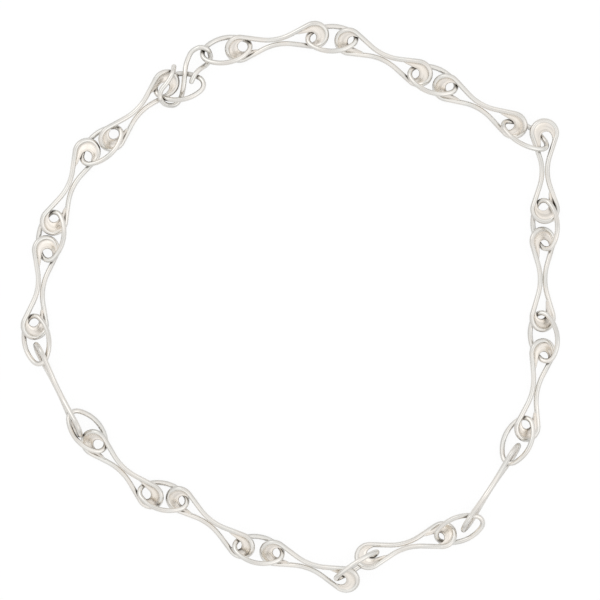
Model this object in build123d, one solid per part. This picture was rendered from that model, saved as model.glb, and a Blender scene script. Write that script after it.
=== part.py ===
# Sail link necklace, closed on its S-hook and laid flat in a loop. Millimetres, +Z up, origin on the
# surface that the necklace lies on, under the middle of its outline.
# Each sail link is a long ring of round wire, pinched at its waist, whose two round ends are webbed with a
# thin sail. Oval wire links join the sail links: an end of the oval passes through the opening beside the
# sail, one of its sides lies over the sail and the other under it, so neighbours lean opposite ways.
import os
from math import asin, atan, atan2, cos, degrees, radians, sin, tan

from build123d import *

# Wire, and the least gap that is left between two pieces
WIRE_D = 1.3
CLEARANCE = 0.15

# Sail link: outside sizes
SAIL_LINK_LENGTH = 27.9
SAIL_LINK_WIDTH = 7.8
WAIST_WIDTH = 2.75

# Its sail: depth from the link's tip to the opening, and its thickness
SAIL_DEPTH = 3.5
SAIL_THICKNESS = 0.7

# The opening: its round end, and how far it lies off the link's middle line, away from the arm along which the
# sail runs out
OPENING_END_RADIUS = 1.5
OPENING_SKEW = -0.5

# Oval link: outside sizes, and the bend of its ends along the middle of the wire
OVAL_LINK_LENGTH = 14.1
OVAL_LINK_WIDTH = 8.9
OVAL_END_BEND = 2.4

# Hook: how far the middle of its wire reaches in X and in Y, and the share of the shorter run that each of
# its bends takes up
HOOK_WIDTH = 13.4
HOOK_LENGTH = 15.4
HOOK_BEND_SHARE = 0.45

# Where the last oval link's course ends on the hook, from the start of the first one's, in shares of the
# hook's width and length
CLASP_REACH = (0.261, 0.604)

# Each sail link's heading on the surface, in degrees anticlockwise from +X, and its lean about its own
# length in units of the usual lean, plus where the inside of the loop is the higher side
SAIL_LINKS = (
    # heading, lean
    (225.5, -1.3),
    (244.5, -1.0),
    (261.5, -1.0),
    (296.0, 3.0),
    (316.5, 1.0),
    (323.0, 1.0),
    (339.5, 1.0),
    (16.0, -1.05),
    (57.0, 3.0),
    (78.5, 1.0),
    (90.0, 1.0),
    (90.5, 0.0),
    (150.5, -1.0),
    (155.5, -1.0),
    (190.5, -1.0),
)

# Each oval link, from the clasp on: the course from the opening before it to the opening after it, the
# slack that the course is short of the oval's length, how far the oval has slid along the course and to the
# left of it, all three in wire diameters, its swing off the course, and its lean
OVAL_LINKS = (
    # course, slack, along, aside, swing, lean
    (178.5, 3.99, 0.15, 0.16, 8.5, 0.85),
    (217.0, 3.52, -0.20, 0.26, 5.0, 1.0),
    (260.0, 3.13, 0.12, 0.22, 0.5, 1.0),
    (286.0, 2.87, -0.11, -0.24, -7.0, 1.0),
    (318.5, 3.71, 0.05, 0.51, -7.5, -1.0),
    (354.5, 2.79, -0.30, 0.16, -9.5, -1.05),
    (351.5, 2.14, 0.29, -0.16, -3.0, -1.15),
    (45.0, 2.17, 0.37, 0.42, -12.0, 2.9),
    (34.0, 2.72, 0.46, -0.65, -13.0, 1.1),
    (64.5, 2.75, 0.07, 0.24, 1.0, -1.05),
    (94.5, 1.90, -0.34, -0.26, 3.5, -1.0),
    (92.5, 2.65, 0.12, -0.27, 2.5, -1.45),
    (165.5, 2.44, 0.48, 1.24, -14.0, 1.8),
    (158.5, 2.65, -0.05, -0.10, 2.0, 1.0),
    (174.0, 2.10, 0.04, 0.00, 6.5, 1.0),
    (187.0, 3.09, -0.36, 0.28, 4.5, 1.0),
)

# The hook's wire from its free tip by the first oval to its free end past the eye: places from the start of
# the first oval link's course, in shares of the hook's width and length, and the level that each place lies
# at (see hook_levels)
HOOK_ROUTE = (
    # x, y, level
    (-0.403, 0.331, "over_sail"),
    (-0.418, 0.208, "over_both"),
    (-0.522, 0.052, "over_both"),
    (-0.664, -0.091, "over_both"),
    (-0.679, -0.234, "over_both"),
    (-0.567, -0.325, "between"),
    (-0.388, -0.325, "surface"),
    (-0.269, -0.195, "surface"),
    (-0.216, -0.013, "between"),
    (-0.194, 0.188, "over_end"),
    (-0.172, 0.390, "over_low"),
    (-0.067, 0.597, "over_end"),
    (0.112, 0.675, "over_sail"),
    (0.284, 0.623, "over_end"),
    (0.321, 0.494, "surface"),
    (0.239, 0.383, "surface"),
    (0.090, 0.286, "between"),
    (0.000, 0.195, "over_end"),
    (-0.060, 0.078, "over_end"),
)

WIRE_R = WIRE_D / 2

# Sail link's centreline: a round lobe at each end, straight arms that aim at the link's middle, and waist
# bends that join the arms
LOBE_BEND = SAIL_LINK_WIDTH / 2 - WIRE_R
LOBE_CENTRE = (SAIL_LINK_LENGTH - SAIL_LINK_WIDTH) / 2
ARM_ANGLE = degrees(asin(LOBE_BEND / LOBE_CENTRE))
ARM_SLOPE = tan(radians(ARM_ANGLE))
WAIST_OFFSET = WAIST_WIDTH / 2 - WIRE_R
WAIST_BEND = WAIST_OFFSET * cos(radians(ARM_ANGLE)) / (1 - cos(radians(ARM_ANGLE)))
ARM_INNER = (WAIST_BEND * sin(radians(ARM_ANGLE)), WAIST_BEND * sin(radians(ARM_ANGLE)) * ARM_SLOPE)
ARM_OUTER = (LOBE_CENTRE - LOBE_BEND * sin(radians(ARM_ANGLE)), LOBE_BEND * cos(radians(ARM_ANGLE)))

# Oval link's centreline: two round ends and two flatter sides, tangent to each other
OVAL_HALF_LENGTH = OVAL_LINK_LENGTH / 2 - WIRE_R
OVAL_HALF_WIDTH = OVAL_LINK_WIDTH / 2 - WIRE_R
OVAL_END_CENTRE = OVAL_HALF_LENGTH - OVAL_END_BEND
OVAL_SIDE_BEND = (OVAL_END_CENTRE ** 2 + OVAL_HALF_WIDTH ** 2 - OVAL_END_BEND ** 2) / (
    2 * (OVAL_HALF_WIDTH - OVAL_END_BEND)
)

# Where an oval's end lies in a sail link's opening when the chain is drawn tight, from the link's middle,
# and the usual lean, at which the oval's wire just clears both sides of the opening
SEAT = SAIL_LINK_LENGTH / 2 - SAIL_DEPTH - CLEARANCE - WIRE_R
LEAN = degrees(atan(WIRE_R / (OPENING_END_RADIUS - CLEARANCE)))


def bent_wire(centre, bend, start, turn, radius=WIRE_R):
    """Wire bent round a centre in the XY plane, from the angle start on through turn, in degrees."""
    section = Plane.XZ * Pos(bend, 0) * Circle(radius)
    return Pos(*centre) * Rot(Z=start) * revolve(section, Axis.Z, revolution_arc=turn)


def straight_wire(start, end, radius=WIRE_R):
    """Straight wire from one point to another."""
    run = Vector(*end) - Vector(*start)
    return extrude(Plane(origin=start, z_dir=run) * Circle(radius), run.length)


def fused(pieces):
    """All the pieces as one solid."""
    whole = pieces[0]
    for piece in pieces[1:]:
        whole += piece
    return whole


def sail_ring():
    """The sail link's wire, lying along X in the XY plane with its middle at the origin."""
    half = [
        bent_wire((LOBE_CENTRE, 0), LOBE_BEND, -90 - ARM_ANGLE, 180 + 2 * ARM_ANGLE),
        straight_wire(ARM_INNER, ARM_OUTER),
        bent_wire((0, WAIST_OFFSET + WAIST_BEND), WAIST_BEND, 270 - ARM_ANGLE, 2 * ARM_ANGLE),
        straight_wire((-ARM_INNER[0], ARM_INNER[1]), (-ARM_OUTER[0], ARM_OUTER[1])),
    ]
    return fused(half + [Rot(Z=180) * piece for piece in half])


def sail():
    """The sail in the lobe at +X, with a round lip along the opening: round its end and on to both arms."""
    lip = SAIL_THICKNESS / 2
    bend = OPENING_END_RADIUS + lip
    centre = Vector(SAIL_LINK_LENGTH / 2 - SAIL_DEPTH - OPENING_END_RADIUS, OPENING_SKEW)
    sail_side = Vector(centre.X, centre.Y + bend)
    plain_side = Vector(centre.X, centre.Y - bend)
    sail_arm = Vector(sail_side.Y / ARM_SLOPE, sail_side.Y)
    plain_arm = Vector(-plain_side.Y / ARM_SLOPE, plain_side.Y)
    outline = [
        Line(plain_arm, (ARM_OUTER[0], -ARM_OUTER[1])),
        CenterArc((LOBE_CENTRE, 0), LOBE_BEND, -90 - ARM_ANGLE, 180 + 2 * ARM_ANGLE),
        Line(ARM_OUTER, sail_arm),
        Line(sail_arm, sail_side),
        CenterArc(centre, bend, 90, -180),
        Line(plain_side, plain_arm),
    ]
    web = extrude(make_face([line.edge() for line in outline]), lip, both=True)
    return fused([
        web,
        straight_wire(plain_side, plain_arm, lip),
        bent_wire(centre, bend, -90, 180, lip),
        straight_wire(sail_side, sail_arm, lip),
    ])


def sail_link():
    """One sail link: the ring of wire with a sail in each lobe."""
    web = sail()
    return sail_ring() + web + Rot(Z=180) * web


def oval_link():
    """One oval link, lying along X in the XY plane with its middle at the origin."""
    joint = degrees(atan2(OVAL_SIDE_BEND - OVAL_HALF_WIDTH, OVAL_END_CENTRE))
    half = [
        bent_wire((OVAL_END_CENTRE, 0), OVAL_END_BEND, -joint, 2 * joint),
        bent_wire((0, OVAL_HALF_WIDTH - OVAL_SIDE_BEND), OVAL_SIDE_BEND, joint, 180 - 2 * joint),
    ]
    return fused(half + [Rot(Z=180) * piece for piece in half])


def rest_height(half_width, lean):
    """Height of a link's middle when its lower side lies on the surface."""
    return WIRE_R + half_width * abs(sin(radians(lean * LEAN)))


def turned(x, y, z, heading, pitch, lean):
    """Place of a link: its middle, its heading, the rise of its far end and its lean."""
    return Pos(x, y, z) * Rot(Z=heading) * Rot(Y=-pitch) * Rot(X=lean * LEAN)


def lay_chain():
    """Places of the oval links and of the sail links, laid end to end round the loop from the clasp.

    What the loop lacks to meet the hook is shared out evenly over the joints.
    """
    steps = []
    for number, (course, slack, *_) in enumerate(OVAL_LINKS):
        steps.append(Vector(2 * OVAL_HALF_LENGTH - slack * WIRE_D, 0).rotate(Axis.Z, course))
        if number < len(SAIL_LINKS):
            heading, lean = SAIL_LINKS[number]
            across = OPENING_SKEW * cos(radians(lean * LEAN))
            steps.append(Vector(2 * SEAT, 2 * across).rotate(Axis.Z, heading))
    clasp_end = Vector(CLASP_REACH[0] * HOOK_WIDTH, CLASP_REACH[1] * HOOK_LENGTH)
    gap = clasp_end - sum(steps, Vector())
    middles = []
    point = Vector()
    for step in steps:
        whole_step = step + gap / len(steps)
        middles.append(point + whole_step / 2)
        point += whole_step

    oval_heights = [rest_height(OVAL_HALF_WIDTH, row[-1]) for row in OVAL_LINKS]
    sail_heights = [
        max(rest_height(LOBE_BEND, lean), min(oval_heights[number : number + 2]))
        for number, (_, lean) in enumerate(SAIL_LINKS)
    ]
    sails = [
        turned(middle.X, middle.Y, height, heading, 0, lean)
        for middle, height, (heading, lean) in zip(middles[1::2], sail_heights, SAIL_LINKS)
    ]
    ovals = []
    for number, (course, _, along, aside, swing, lean) in enumerate(OVAL_LINKS):
        middle = middles[2 * number] + Vector(along, aside).rotate(Axis.Z, course) * WIRE_D
        least = oval_heights[number]
        ends = []
        for neighbour, side in ((number - 1, 1), (number, -1)):
            if 0 <= neighbour < len(SAIL_LINKS):
                slope = sin(radians(SAIL_LINKS[neighbour][1] * LEAN))
                rise = side * OPENING_SKEW * slope
                drop = (OPENING_END_RADIUS - WIRE_R - CLEARANCE) * abs(slope)
                ends.append(max(least, sail_heights[neighbour] + rise - drop))
            else:
                ends.append(least)
        pitch = degrees(asin((ends[1] - ends[0]) / (2 * OVAL_HALF_LENGTH)))
        ovals.append(turned(middle.X, middle.Y, sum(ends) / 2, course + swing, pitch, lean))
    return ovals, sails


def hook_levels():
    """Heights of the hook's wire, by what it lies on."""
    low = WIRE_R
    high = WIRE_R + 2 * OVAL_HALF_WIDTH * sin(radians(LEAN))
    middle = rest_height(LOBE_BEND, 1.0)
    step = WIRE_D + CLEARANCE
    return {
        "surface": low,
        "between": (low + high) / 2,
        "over_low": low + step,
        "over_end": (low + middle) / 2 + step,
        "over_sail": middle + step,
        "over_both": high + step,
    }


def hook_line():
    """Middle line of the hook's wire: straight runs with an arc at each corner, as wide as its runs allow."""
    levels = hook_levels()
    points = [Vector(x * HOOK_WIDTH, y * HOOK_LENGTH, levels[level]) for x, y, level in HOOK_ROUTE]
    radii = []
    for before, corner, after in zip(points, points[1:], points[2:]):
        turn = (corner - before).get_angle(after - corner)
        run = min((corner - before).length, (after - corner).length)
        radii.append(HOOK_BEND_SHARE * run / tan(radians(turn) / 2))
    return FilletPolyline(*points, radius=radii)


def hook():
    """The S-hook: one round wire with rounded ends."""
    line = hook_line()
    wire = sweep(Plane(origin=line @ 0, z_dir=line % 0) * Circle(WIRE_R), path=line)
    return wire + Pos(*(line @ 0)) * Sphere(WIRE_R) + Pos(*(line @ 1)) * Sphere(WIRE_R)


# Making the files
def main():
    """Lays the pieces round the loop, moves the middle of their outline to the origin and writes them."""
    ovals, sails = lay_chain()
    oval_piece = oval_link()
    sail_piece = sail_link()
    pieces = {"hook_clasp": hook()}
    for number, place in enumerate(ovals, start=1):
        pieces[f"oval_link_{number:02d}"] = place * oval_piece
    for number, place in enumerate(sails, start=1):
        pieces[f"sail_link_{number:02d}"] = place * sail_piece

    solids = [solid for piece in pieces.values() for solid in piece.solids()]
    middle = Compound(solids).bounding_box().center()
    os.makedirs("parts", exist_ok=True)
    for name, piece in pieces.items():
        export_step(Pos(-middle.X, -middle.Y, 0) * piece, f"parts/{name}.step")


main()
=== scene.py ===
"""Looks of the sail link necklace: polished silver links and hook, laid in a loop on a white surface.

Metres, +Z up. Each link is one smooth closed mesh, seated on its solid by the solid's own middle and axes.
"""
from math import asin, atan, atan2, cos, degrees, pi, sin, tan

import bpy
import numpy as np
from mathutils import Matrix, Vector


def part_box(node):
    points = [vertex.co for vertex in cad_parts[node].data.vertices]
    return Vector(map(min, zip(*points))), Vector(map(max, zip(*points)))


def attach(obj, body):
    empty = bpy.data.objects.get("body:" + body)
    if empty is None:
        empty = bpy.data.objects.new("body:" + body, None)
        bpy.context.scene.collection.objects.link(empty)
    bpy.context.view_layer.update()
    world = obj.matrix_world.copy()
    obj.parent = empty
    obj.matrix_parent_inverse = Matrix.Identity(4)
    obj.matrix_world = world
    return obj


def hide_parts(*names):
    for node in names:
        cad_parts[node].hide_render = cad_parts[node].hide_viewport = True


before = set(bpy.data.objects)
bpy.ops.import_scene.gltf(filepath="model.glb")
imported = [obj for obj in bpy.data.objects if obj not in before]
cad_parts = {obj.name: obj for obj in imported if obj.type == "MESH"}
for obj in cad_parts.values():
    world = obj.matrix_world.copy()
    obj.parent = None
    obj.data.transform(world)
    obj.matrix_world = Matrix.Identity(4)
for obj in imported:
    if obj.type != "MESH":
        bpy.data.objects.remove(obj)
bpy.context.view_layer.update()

# Wire: its radius, and the gap kept between wires that cross
WIRE_R = 0.00065
CLEARANCE = 0.00015

# Sail link: outside sizes, the sail's depth from the link's tip, and the round end of the opening with how
# far it lies aside
SAIL_LINK_LENGTH = 0.0279
SAIL_LINK_WIDTH = 0.0078
WAIST_WIDTH = 0.00275
SAIL_DEPTH = 0.0035
OPENING_END_RADIUS = 0.0015
OPENING_SKEW = -0.0005

# Sail's half thickness at the crease along the rim, in the dish and at the lip round the opening; where the
# dish ends and the lip starts, as shares of the sail; the rounding of the lip; and the sail's width at which
# its section takes over from the plain wire's
CREASE_LEVEL = 0.00044
DISH_LEVEL = 0.00026
LIP_LEVEL = 0.00032
DISH_SHARE = 0.38
LIP_SHARE = 0.62
LIP_ROUND = 0.0003
SAIL_FADE = 0.0004

# Oval link: outside sizes, and the bend of its ends along the middle of the wire
OVAL_LINK_LENGTH = 0.0141
OVAL_LINK_WIDTH = 0.0089
OVAL_END_BEND = 0.0024

# Hook: reach of the middle of its wire, the share of the shorter run that each bend takes up, and its route,
# in shares of that reach, from the free tip by the first oval link to the free end past the eye
HOOK_WIDTH = 0.0134
HOOK_LENGTH = 0.0154
HOOK_BEND_SHARE = 0.45
HOOK_ROUTE = (
    # x, y, level
    (-0.403, 0.331, "over_sail"),
    (-0.418, 0.208, "over_both"),
    (-0.522, 0.052, "over_both"),
    (-0.664, -0.091, "over_both"),
    (-0.679, -0.234, "over_both"),
    (-0.567, -0.325, "between"),
    (-0.388, -0.325, "surface"),
    (-0.269, -0.195, "surface"),
    (-0.216, -0.013, "between"),
    (-0.194, 0.188, "over_end"),
    (-0.172, 0.390, "over_low"),
    (-0.067, 0.597, "over_end"),
    (0.112, 0.675, "over_sail"),
    (0.284, 0.623, "over_end"),
    (0.321, 0.494, "surface"),
    (0.239, 0.383, "surface"),
    (0.090, 0.286, "between"),
    (0.000, 0.195, "over_end"),
    (-0.060, 0.078, "over_end"),
)

# Meshes: stations along a sail link's lobe, arm and waist, along an oval's end and side and along each bend
# of the hook, then points round a wire, from a sail's crease to its lip, and round the lip
LOBE_STATIONS = 84
ARM_STATIONS = 30
WAIST_STATIONS = 10
OVAL_END_STATIONS = 30
OVAL_SIDE_STATIONS = 42
HOOK_BEND_STATIONS = 14
TIP_STATIONS = 6
AROUND = 24
SAIL_ROWS = 8
LIP_ROWS = 8

# What the photograph shows: the width that it takes in, the place on the surface at its middle, and how far
# above that place the camera stands
PHOTO_SPAN = 0.159
PHOTO_MIDDLE = (0.00255, 0.00191)
CAMERA_HEIGHT = 0.75
SENSOR_WIDTH = 0.036

# The white surface: its width, its own grey, and as the picture shows it a white glow with a faint share of
# shade
SURFACE_WIDTH = 3.0
PAPER = 0.88
PAPER_GLOW = 0.92
PAPER_SHADE = 0.1

# Silver of the wires and of the sails: its cooler and warmer patches, its roughness, and how deep the fine
# scratches are
WIRE_SILVER = {
    "cool": (0.9, 0.885, 0.845),
    "warm": (0.945, 0.905, 0.85),
    "roughness": 0.16,
    "scratch_depth": 0.000002,
}
SAIL_SILVER = {
    "cool": (0.93, 0.88, 0.82),
    "warm": (0.97, 0.905, 0.822),
    "roughness": 0.28,
    "scratch_depth": 0.000004,
}

# Ramps below hold stops of place and grey, and scales are noise cells per metre.
# Patches: from cool to warm
PATCH_SCALE = 260.0
PATCH_RAMP = ((0.38, 0.0), (0.62, 1.0))

# Drawing streaks: their length along the wire, their width round it, and how dark they are
STREAK_LENGTH = 0.012
STREAK_WIDTH = 0.00042
STREAK_RAMP = ((0.4, 0.84), (0.55, 1.0))

# Painted shade in the hollows between two pieces: its colour, how near the pieces lie, and from closed to
# open
HOLLOW_SHADE_COLOUR = (0.1, 0.085, 0.072)
HOLLOW_SHADE_REACH = 0.0015
HOLLOW_SHADE_RAMP = ((0.35, 1.0), (0.85, 0.0))

# Uneven polish: the least and the greatest roughness as shares of the silver's own
POLISH_SCALE = 700.0
POLISH_PLACES = (0.3, 0.7)
POLISH_SHARES = (0.75, 1.35)

# Fine scratches, drawn out in one direction, and shallow dents
SCRATCH_SCALE = 9000.0
SCRATCH_STRETCH = (0.18, 1.0, 1.0)
SCRATCH_TURN = (0.0, 0.0, 0.9)
SCRATCH_STRENGTH = 0.25
DENT_SCALE = 900.0
DENT_DEPTH = 0.00003
DENT_STRENGTH = 0.35

# The white tent's grey from the horizon up to the zenith, and the soft lamps round it
TENT_RAMP = ((0.0, 0.64), (0.15, 0.68), (0.42, 0.85), (0.75, 0.98), (0.92, 0.94), (1.0, 0.8))
LAMP_DISTANCE = 0.9
LAMP_WIDTH = 0.5
LAMPS = (
    # name, direction, power
    ("key", (-0.7, 0.8, 1.1), 0.3),
    ("fill", (0.9, -0.5, 1.0), 0.2),
)


def bend_points(centre, bend, start, turn, count):
    """Points of an arc in the plane, from the angle start on through turn, in degrees, without its end."""
    angles = np.radians(start + turn * np.arange(count) / count)
    return np.column_stack([centre[0] + bend * np.cos(angles), centre[1] + bend * np.sin(angles)])


def run_points(start, end, count):
    """Points of a straight run in the plane, without its end."""
    shares = (np.arange(count) / count)[:, None]
    return np.array(start) * (1 - shares) + np.array(end) * shares


def sail_line():
    """Middle line of a sail link's wire, anticlockwise: a lobe, an arm, the waist and an arm, twice."""
    bend = SAIL_LINK_WIDTH / 2 - WIRE_R
    centre = (SAIL_LINK_LENGTH - SAIL_LINK_WIDTH) / 2
    angle = asin(bend / centre)
    waist_offset = WAIST_WIDTH / 2 - WIRE_R
    waist_bend = waist_offset * cos(angle) / (1 - cos(angle))
    outer = (centre - bend * sin(angle), bend * cos(angle))
    inner = (waist_bend * sin(angle), waist_bend * sin(angle) * tan(angle))
    tilt = degrees(angle)
    half = np.concatenate([
        bend_points((centre, 0), bend, -90 - tilt, 180 + 2 * tilt, LOBE_STATIONS),
        run_points(outer, inner, ARM_STATIONS),
        bend_points((0, waist_offset + waist_bend), waist_bend, 270 + tilt, -2 * tilt, WAIST_STATIONS),
        run_points((-inner[0], inner[1]), (-outer[0], outer[1]), ARM_STATIONS),
    ])
    return np.concatenate([half, -half])


def oval_line():
    """Middle line of an oval link's wire, anticlockwise: a round end and a flatter side, twice."""
    half_length = OVAL_LINK_LENGTH / 2 - WIRE_R
    half_width = OVAL_LINK_WIDTH / 2 - WIRE_R
    centre = half_length - OVAL_END_BEND
    bend = (centre ** 2 + half_width ** 2 - OVAL_END_BEND ** 2) / (2 * (half_width - OVAL_END_BEND))
    joint = degrees(atan2(bend - half_width, centre))
    half = np.concatenate([
        bend_points((centre, 0), OVAL_END_BEND, -joint, 2 * joint, OVAL_END_STATIONS),
        bend_points((0, half_width - bend), bend, joint, 180 - 2 * joint, OVAL_SIDE_STATIONS),
    ])
    return np.concatenate([half, -half])


def inward(line):
    """Directions to the left of a closed line at each of its points."""
    along = np.roll(line, -1, axis=0) - np.roll(line, 1, axis=0)
    along /= np.linalg.norm(along, axis=1)[:, None]
    return np.column_stack([-along[:, 1], along[:, 0]])


def opening_edges(sides):
    """Nearest points on the edge of the opening for points on the wire's inner side, and their distances.

    The opening is a strip along the link with a round end. A point that it already holds stays where it is.
    """
    flip = np.where(sides[:, 0] < 0, -1.0, 1.0)[:, None]
    centre = np.array([SAIL_LINK_LENGTH / 2 - SAIL_DEPTH - OPENING_END_RADIUS, OPENING_SKEW])
    offsets = sides * flip - centre
    offsets[:, 0] = np.maximum(offsets[:, 0], 0)
    lengths = np.linalg.norm(offsets, axis=1)
    outside = np.maximum(lengths - OPENING_END_RADIUS, 0)
    inward_steps = offsets / np.maximum(lengths, WIRE_R)[:, None] * outside[:, None]
    return sides - inward_steps * flip, outside


def smooth_step(value):
    """0 up to 0, 1 from 1 on, and a smooth rise between."""
    share = np.clip(value, 0, 1)
    return share * share * (3 - 2 * share)


def sail_levels(shares):
    """Half thickness of the sail from its crease, share 0, to its lip, share 1."""
    fall = np.clip(1 - shares / DISH_SHARE, 0, 1) ** 2
    rise = smooth_step((shares - LIP_SHARE) / (1 - LIP_SHARE))
    return DISH_LEVEL + (CREASE_LEVEL - DISH_LEVEL) * fall + (LIP_LEVEL - DISH_LEVEL) * rise


def sail_link_points():
    """Grid of points on a sail link: for each station a section round the rim and over the sail."""
    line = sail_line()
    normals = inward(line)
    edges, widths = opening_edges(line + normals * WIRE_R)
    crease_angle = asin(CREASE_LEVEL / WIRE_R)
    creases = line + normals * WIRE_R * cos(crease_angle)

    rim_angles = np.linspace(crease_angle, 2 * pi - crease_angle, AROUND)
    shares = np.arange(1, SAIL_ROWS + 1) / SAIL_ROWS
    lip_angles = np.linspace(pi / 2, -pi / 2, LIP_ROWS + 2)[1:-1]
    side_angles = np.linspace(-crease_angle, crease_angle, 2 * SAIL_ROWS + LIP_ROWS + 2)[1:-1]

    # The sail's section under the wire's middle, then over it: from the lower crease round the lip and back
    reach = edges - creases
    length = np.linalg.norm(reach, axis=1)
    flat = np.maximum(length - LIP_ROUND, 0)[:, None]
    lip_reach = np.minimum(length, LIP_ROUND)[:, None]
    under = np.concatenate([[0.0], shares[:-1]])[1:]
    sail_out = np.concatenate([
        flat * under, flat, flat + lip_reach * np.cos(lip_angles)[::-1], flat, flat * under[::-1],
    ], axis=1)
    levels = sail_levels(np.concatenate([under, [1.0]]))
    sail_up = np.concatenate([-levels, LIP_LEVEL * np.sin(lip_angles)[::-1], levels[::-1]])
    toward = reach / length[:, None]
    sail_part = np.dstack([
        creases[:, None, :] + toward[:, None, :] * sail_out[:, :, None],
        np.broadcast_to(sail_up, sail_out.shape),
    ])

    def round_part(angles):
        """The wire's own round section at these angles from its inner side."""
        return np.dstack([
            line[:, None, :] + normals[:, None, :] * (WIRE_R * np.cos(angles))[None, :, None],
            np.broadcast_to(WIRE_R * np.sin(angles), (len(line), len(angles))),
        ])

    blend = smooth_step(widths / SAIL_FADE)[:, None, None]
    inner_part = round_part(side_angles) * (1 - blend) + sail_part * blend
    return np.concatenate([round_part(rim_angles), inner_part], axis=1)


def oval_link_points():
    """Grid of points on an oval link."""
    line = oval_line()
    normals = inward(line)
    angles = 2 * pi * np.arange(AROUND) / AROUND
    return np.dstack([
        line[:, None, :] + normals[:, None, :] * (WIRE_R * np.cos(angles))[None, :, None],
        np.broadcast_to(WIRE_R * np.sin(angles), (len(line), AROUND)),
    ])


def hook_levels():
    """Heights of the hook's wire, by what it lies on."""
    lean = atan(WIRE_R / (OPENING_END_RADIUS - CLEARANCE))
    low = WIRE_R
    high = WIRE_R + 2 * (OVAL_LINK_WIDTH / 2 - WIRE_R) * sin(lean)
    middle = WIRE_R + (SAIL_LINK_WIDTH / 2 - WIRE_R) * sin(lean)
    step = 2 * WIRE_R + CLEARANCE
    return {
        "surface": low,
        "between": (low + high) / 2,
        "over_low": low + step,
        "over_end": (low + middle) / 2 + step,
        "over_sail": middle + step,
        "over_both": high + step,
    }


def hook_line():
    """Middle line of the hook's wire: an arc at each corner of its route, moved to where the solid lies."""
    levels = hook_levels()
    corners = [Vector((x * HOOK_WIDTH, y * HOOK_LENGTH, levels[level])) for x, y, level in HOOK_ROUTE]
    points = [corners[0]]
    for before, corner, after in zip(corners, corners[1:], corners[2:]):
        back = (before - corner).normalized()
        on = (after - corner).normalized()
        reach = HOOK_BEND_SHARE * min((before - corner).length, (after - corner).length)
        half_turn = (pi - back.angle(on)) / 2
        bend = reach / tan(half_turn)
        centre = corner + (back + on).normalized() * (bend / cos(half_turn))
        start = (corner + back * reach - centre).normalized()
        end = (corner + on * reach - centre).normalized()
        for step in range(HOOK_BEND_STATIONS + 1):
            points.append(centre + start.slerp(end, step / HOOK_BEND_STATIONS) * bend)
    points.append(corners[-1])
    line = np.array([tuple(point) for point in points])
    low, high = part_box("hook_clasp")
    own_middle = (line.min(axis=0) + line.max(axis=0)) / 2
    solid_middle = (np.array(low) + np.array(high)) / 2
    line[:, :2] += (solid_middle - own_middle)[:2]
    return line


def hook_points():
    """Grid of points on the hook, its two ends rounded, and the two poles that close them."""
    line = hook_line()
    along = np.gradient(line, axis=0)
    along /= np.linalg.norm(along, axis=1)[:, None]
    side = np.cross(along[0], (0, 0, 1))
    angles = 2 * pi * np.arange(AROUND) / AROUND
    rows = []
    for point, direction in zip(line, along):
        side = side - direction * np.dot(side, direction)
        side /= np.linalg.norm(side)
        over = np.cross(direction, side)
        rows.append((point, direction, side, over))
    tip_angles = np.arange(1, TIP_STATIONS) / TIP_STATIONS * pi / 2
    rings = []
    point, direction, side, over = rows[0]
    for angle in tip_angles:
        rings.append((point - direction * WIRE_R * cos(angle), side, over, WIRE_R * sin(angle)))
    rings += [(point, side, over, WIRE_R) for point, _, side, over in rows]
    point, direction, side, over = rows[-1]
    for angle in tip_angles[::-1]:
        rings.append((point + direction * WIRE_R * cos(angle), side, over, WIRE_R * sin(angle)))
    grid = np.array([
        middle + radius * (np.outer(np.cos(angles), side) + np.outer(np.sin(angles), over))
        for middle, side, over, radius in rings
    ])
    poles = np.array([line[0] - along[0] * WIRE_R, line[-1] + along[-1] * WIRE_R])
    return grid, poles


def sail_faces():
    """For each face of a sail link's grid, 1 on the sail and 0 on the wire."""
    line = sail_line()
    _, widths = opening_edges(line + inward(line) * WIRE_R)
    columns = np.arange(AROUND + 2 * SAIL_ROWS + LIP_ROWS) >= AROUND
    return np.outer(widths > SAIL_FADE, columns).astype(int).ravel()


def grid_faces(stations, around, closed):
    """Faces between neighbouring points of a grid, whose sections close and whose line may close too."""
    index = np.arange(stations * around).reshape(stations, around)
    following = np.roll(index, -1, axis=0)
    if not closed:
        index, following = index[:-1], following[:-1]
    faces = np.stack([index, np.roll(index, -1, axis=1), np.roll(following, -1, axis=1), following], axis=-1)
    return faces.reshape(-1, 4).tolist()


def wire_places(points):
    """Places of a grid's points on the wire, in metres along it and round it."""
    steps_on = np.linalg.norm(np.diff(points.mean(axis=1), axis=0), axis=1)
    steps_round = np.linalg.norm(np.diff(points, axis=1), axis=2).mean(axis=0)
    on = np.concatenate([[0.0], np.cumsum(steps_on)])
    over = np.concatenate([[0.0], np.cumsum(steps_round)])
    return np.dstack(np.meshgrid(on, over, indexing="ij")).reshape(-1, 2)


def new_piece(name, vertices, faces, places, materials):
    """A smooth mesh object of these points and faces, with a place on the wire for each point."""
    mesh = bpy.data.meshes.new(name)
    mesh.from_pydata(vertices.tolist(), [], faces)
    mesh.shade_smooth()
    for material in materials:
        mesh.materials.append(material)
    corners = np.array([loop.vertex_index for loop in mesh.loops])
    mesh.uv_layers.new(name="along_wire").uv.foreach_set("vector", places[corners].ravel())
    piece = bpy.data.objects.new(name, mesh)
    bpy.context.scene.collection.objects.link(piece)
    return piece


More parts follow.
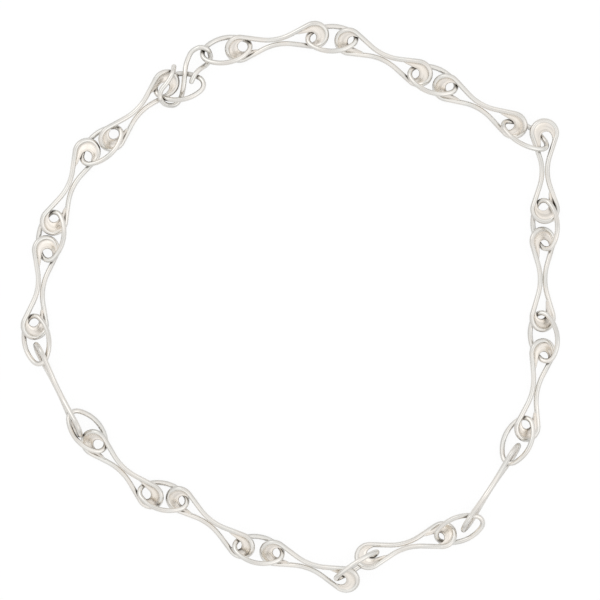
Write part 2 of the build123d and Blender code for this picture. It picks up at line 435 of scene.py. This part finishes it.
def surface_frame(vertices, triangles):
    """Middle of a surface and its axes, weighted by area: along it, across it and up."""
    corners = vertices[triangles]
    crossed = np.cross(corners[:, 1] - corners[:, 0], corners[:, 2] - corners[:, 0])
    areas = np.linalg.norm(crossed, axis=1)
    middle = np.average(corners.mean(axis=1), axis=0, weights=areas)
    offsets = corners - middle
    sums = offsets.sum(axis=1)
    spread = np.einsum("t,tci,tcj->ij", areas, offsets, offsets)
    spread += np.einsum("t,ti,tj->ij", areas, sums, sums)
    _, axes = np.linalg.eigh(spread)
    up = axes[:, 0] * np.sign(axes[2, 0])
    along = axes[:, 2]
    return middle, np.column_stack([along, np.cross(up, along), up])


def node_frame(node):
    """Middle and axes of a solid."""
    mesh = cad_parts[node].data
    mesh.calc_loop_triangles()
    vertices = np.array([vertex.co for vertex in mesh.vertices])
    triangles = np.array([triangle.vertices for triangle in mesh.loop_triangles])
    return surface_frame(vertices, triangles)


def add_links(prefix, points, materials, face_materials):
    """One mesh for each solid of this name, laid on the solid."""
    grid = points.reshape(-1, 3)
    faces = grid_faces(points.shape[0], points.shape[1], closed=True)
    quads = np.array(faces)
    middle, axes = surface_frame(grid, np.concatenate([quads[:, [0, 1, 2]], quads[:, [0, 2, 3]]]))
    places = wire_places(points)
    for node in sorted(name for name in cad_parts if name.startswith(prefix)):
        solid_middle, solid_axes = node_frame(node)
        placed = (grid - middle) @ axes @ solid_axes.T + solid_middle
        piece = new_piece(f"{node}_silver", placed, faces, places, materials)
        piece.data.polygons.foreach_set("material_index", face_materials)
        dress(piece, node)


def add_hook(material):
    """The hook's mesh."""
    grid, poles = hook_points()
    stations, around = grid.shape[:2]
    faces = grid_faces(stations, around, closed=False)
    first_pole = stations * around
    last_row = (stations - 1) * around
    for step in range(around):
        following = (step + 1) % around
        faces.append((first_pole, following, step))
        faces.append((first_pole + 1, last_row + step, last_row + following))
    vertices = np.concatenate([grid.reshape(-1, 3), poles])
    places = wire_places(grid)
    places = np.concatenate([places, places[[0, -1]]])
    dress(new_piece("hook_clasp_silver", vertices, faces, places, [material]), "hook_clasp")


def dress(piece, node):
    """The piece stands for a solid: it hangs on the root body, and the solid is hidden."""
    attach(piece, "root")
    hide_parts(node)


def add_node(tree, kind, x, y, **values):
    """A shader node with its named inputs set."""
    node = tree.nodes.new(kind)
    node.location = (x, y)
    for key, value in values.items():
        if key in node.inputs:
            node.inputs[key].default_value = value
        else:
            setattr(node, key, value)
    return node


def mixed(tree, x, y, factor, first, second, blend="MIX"):
    """A colour mix, whose inputs may be sockets or colours."""
    node = add_node(tree, "ShaderNodeMix", x, y, data_type="RGBA", blend_type=blend)
    for socket, value in zip((node.inputs[0], node.inputs[6], node.inputs[7]), (factor, first, second)):
        if isinstance(value, bpy.types.NodeSocket):
            tree.links.new(value, socket)
        elif isinstance(value, tuple):
            socket.default_value = (*value, 1.0)
        else:
            socket.default_value = value
    return node.outputs[2]


def ramp(tree, x, y, source, stops):
    """A value ramp: stops of place and grey."""
    node = add_node(tree, "ShaderNodeValToRGB", x, y)
    tree.links.new(source, node.inputs["Fac"])
    elements = node.color_ramp.elements
    while len(elements) < len(stops):
        elements.new(0.5)
    for element, (place, grey) in zip(elements, stops):
        element.position = place
        element.color = (grey, grey, grey, 1.0)
    return node.outputs["Color"]


def noise(tree, x, y, source, scale, detail):
    """A noise texture's value at these places."""
    node = add_node(tree, "ShaderNodeTexNoise", x, y, Scale=scale, Detail=detail)
    tree.links.new(source, node.inputs["Vector"])
    return node.outputs["Fac"]


def stretched(tree, x, y, source, **values):
    """Places scaled or turned by a mapping."""
    mapping = add_node(tree, "ShaderNodeMapping", x, y, **values)
    tree.links.new(source, mapping.inputs["Vector"])
    return mapping.outputs["Vector"]


def streaked(tree, metal):
    """The metal's colour with drawing streaks along the wire."""
    wire = add_node(tree, "ShaderNodeTexCoord", -1400, 700).outputs["UV"]
    drawn = stretched(tree, -1200, 700, wire, Scale=(1 / STREAK_LENGTH, 1 / STREAK_WIDTH, 1.0))
    streaks = ramp(tree, -800, 700, noise(tree, -1000, 700, drawn, scale=1.0, detail=2.0), STREAK_RAMP)
    return mixed(tree, -420, 400, 1.0, metal, streaks, "MULTIPLY")


def painted_hollow_shade(tree, metal):
    """The metal's colour darkened by painted shade where another piece lies near, but not its own wire."""
    near = add_node(tree, "ShaderNodeAmbientOcclusion", -1150, 200, Distance=HOLLOW_SHADE_REACH)
    own = add_node(tree, "ShaderNodeAmbientOcclusion", -1150, 20, Distance=HOLLOW_SHADE_REACH, only_local=True)
    open_share = add_node(tree, "ShaderNodeMath", -900, 120, operation="DIVIDE")
    tree.links.new(near.outputs["AO"], open_share.inputs[0])
    tree.links.new(own.outputs["AO"], open_share.inputs[1])
    depth = ramp(tree, -600, 120, open_share.outputs[0], HOLLOW_SHADE_RAMP)
    return mixed(tree, -220, 300, depth, metal, HOLLOW_SHADE_COLOUR)


def relief(tree, place, scratch_depth):
    """Normals with fine scratches and shallow dents."""
    drawn_out = stretched(tree, -1150, -420, place, Scale=SCRATCH_STRETCH, Rotation=SCRATCH_TURN)
    scratches = noise(tree, -900, -420, drawn_out, SCRATCH_SCALE, detail=2.0)
    dents = noise(tree, -900, -640, place, DENT_SCALE, detail=2.0)
    fine = add_node(tree, "ShaderNodeBump", -420, -420, Strength=SCRATCH_STRENGTH, Distance=scratch_depth)
    coarse = add_node(tree, "ShaderNodeBump", -220, -520, Strength=DENT_STRENGTH, Distance=DENT_DEPTH)
    tree.links.new(scratches, fine.inputs["Height"])
    tree.links.new(dents, coarse.inputs["Height"])
    tree.links.new(fine.outputs["Normal"], coarse.inputs["Normal"])
    return coarse.outputs["Normal"]


def silver(name, cool, warm, roughness, scratch_depth):
    """Polished silver in warm and cool patches, with streaks, painted shade in hollows, uneven polish and
    scratches.
    """
    material = bpy.data.materials.new(name)
    material.use_nodes = True
    tree = material.node_tree
    place = add_node(tree, "ShaderNodeTexCoord", -1400, 0).outputs["Object"]
    patches = ramp(tree, -900, 400, noise(tree, -1150, 400, place, PATCH_SCALE, detail=3.0), PATCH_RAMP)
    metal = mixed(tree, -600, 400, patches, cool, warm)
    # Painted shade: the colour darkens where another piece lies near
    colour = painted_hollow_shade(tree, streaked(tree, metal))
    polish_stops = [(stop, roughness * share) for stop, share in zip(POLISH_PLACES, POLISH_SHARES)]
    unevenness = noise(tree, -1150, -150, place, POLISH_SCALE, detail=4.0)
    polish = ramp(tree, -600, -150, unevenness, polish_stops)

    shader = tree.nodes["Principled BSDF"]
    shader.inputs["Metallic"].default_value = 1.0
    tree.links.new(colour, shader.inputs["Base Color"])
    tree.links.new(polish, shader.inputs["Roughness"])
    tree.links.new(relief(tree, place, scratch_depth), shader.inputs["Normal"])
    return material


def add_floor():
    """The white surface that the necklace lies on."""
    bpy.ops.mesh.primitive_plane_add(size=SURFACE_WIDTH)
    floor = bpy.context.object
    floor.name = "surface"
    material = bpy.data.materials.new("white_surface")
    material.use_nodes = True
    tree = material.node_tree
    paper = add_node(tree, "ShaderNodeBsdfDiffuse", -400, 100, Color=(PAPER,) * 3 + (1.0,))
    shade = add_node(tree, "ShaderNodeBsdfDiffuse", -600, -100, Color=(PAPER_SHADE,) * 3 + (1.0,))
    glow = add_node(tree, "ShaderNodeEmission", -600, -250, Strength=PAPER_GLOW)
    seen = add_node(tree, "ShaderNodeAddShader", -400, -150)
    tree.links.new(shade.outputs[0], seen.inputs[0])
    tree.links.new(glow.outputs[0], seen.inputs[1])
    ray = add_node(tree, "ShaderNodeLightPath", -600, 400)
    mix = add_node(tree, "ShaderNodeMixShader", -150, 0)
    tree.links.new(ray.outputs["Is Camera Ray"], mix.inputs[0])
    tree.links.new(paper.outputs[0], mix.inputs[1])
    tree.links.new(seen.outputs[0], mix.inputs[2])
    tree.links.new(mix.outputs[0], tree.nodes["Material Output"].inputs["Surface"])
    floor.data.materials.append(material)


def add_lamp(name, direction, power):
    """A soft square lamp in this direction from the necklace's middle, aimed at it."""
    data = bpy.data.lights.new(name, "AREA")
    data.shape = "SQUARE"
    data.size = LAMP_WIDTH
    data.energy = power
    lamp = bpy.data.objects.new(name, data)
    bpy.context.scene.collection.objects.link(lamp)
    lamp.location = Vector(direction).normalized() * LAMP_DISTANCE
    lamp.rotation_euler = Vector(direction).to_track_quat("Z", "Y").to_euler()


def add_studio():
    """A white tent, dimmer near the surface, and its soft lamps."""
    world = bpy.data.worlds.new("tent")
    bpy.context.scene.world = world
    world.use_nodes = True
    tree = world.node_tree
    place = add_node(tree, "ShaderNodeTexCoord", -900, 0).outputs["Generated"]
    split = add_node(tree, "ShaderNodeSeparateXYZ", -700, 0)
    tree.links.new(place, split.inputs[0])
    tent = ramp(tree, -500, 0, split.outputs["Z"], TENT_RAMP)
    tree.links.new(tent, tree.nodes["Background"].inputs["Color"])
    for name, direction, power in LAMPS:
        add_lamp(name, direction, power)


def add_camera():
    """The camera, straight above the middle of what the photograph shows."""
    data = bpy.data.cameras.new("camera")
    data.sensor_width = SENSOR_WIDTH * 1000
    data.lens = SENSOR_WIDTH * 1000 * CAMERA_HEIGHT / PHOTO_SPAN
    camera = bpy.data.objects.new("camera", data)
    bpy.context.scene.collection.objects.link(camera)
    camera.location = (*PHOTO_MIDDLE, CAMERA_HEIGHT)
    bpy.context.scene.camera = camera


add_camera()
add_studio()
add_floor()
bpy.context.scene.view_settings.view_transform = "Standard"

wire_silver = silver("wire_silver", **WIRE_SILVER)
sail_silver = silver("sail_silver", **SAIL_SILVER)
sail_grid = sail_link_points()
oval_grid = oval_link_points()
add_links("sail_link", sail_grid, [wire_silver, sail_silver], sail_faces())
add_links("oval_link", oval_grid, [wire_silver], np.zeros(oval_grid[:, :, 0].size, int))
add_hook(wire_silver)
